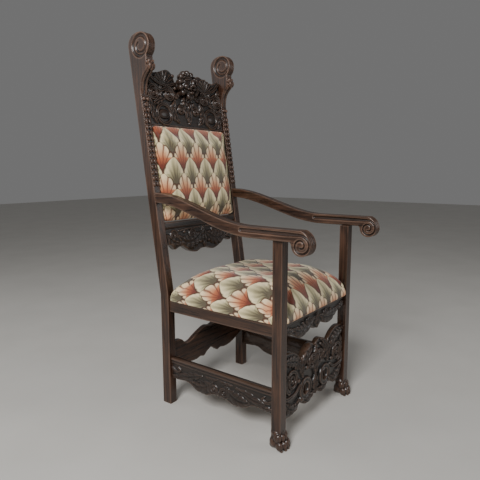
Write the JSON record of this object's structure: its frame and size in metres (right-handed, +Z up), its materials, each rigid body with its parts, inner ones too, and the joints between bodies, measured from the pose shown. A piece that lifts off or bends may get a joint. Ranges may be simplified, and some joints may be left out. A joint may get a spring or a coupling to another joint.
{
  "type": "throne",
  "caption": "Tall carved oak armchair used as a throne, with scrolled posts and arms, paw feet, a mask crest, pierced front stretcher and palmette upholstery",
  "frame": {"origin": "On the floor, under the middle of the chair's overall width and depth.", "axes": "+Z up, the sitter faces -Y, and +X is the sitter's left."},
  "size_m": [0.566, 0.8156, 1.45],
  "materials": {
    "dark_oak": "dark stained, waxed and worn",
    "palmette_fabric": "woven palmette upholstery"
  },
  "bodies": {
    "root": {"back_post_right": "dark_oak", "back_post_left": "dark_oak", "crest_panel": "dark_oak", "lower_back_rail": "dark_oak", "back_pad": "palmette_fabric", "seat_rail_front": "dark_oak", "seat_rail_left": "dark_oak", "seat_rail_right": "dark_oak", "seat_rail_back": "dark_oak", "seat_pad": "palmette_fabric", "front_leg_right": "dark_oak", "front_leg_left": "dark_oak", "arm_right": "dark_oak", "arm_left": "dark_oak", "front_stretcher": "dark_oak", "side_stretcher_right": "dark_oak", "side_stretcher_left": "dark_oak", "back_stretcher": "dark_oak"}
  },
  "joints": []
}
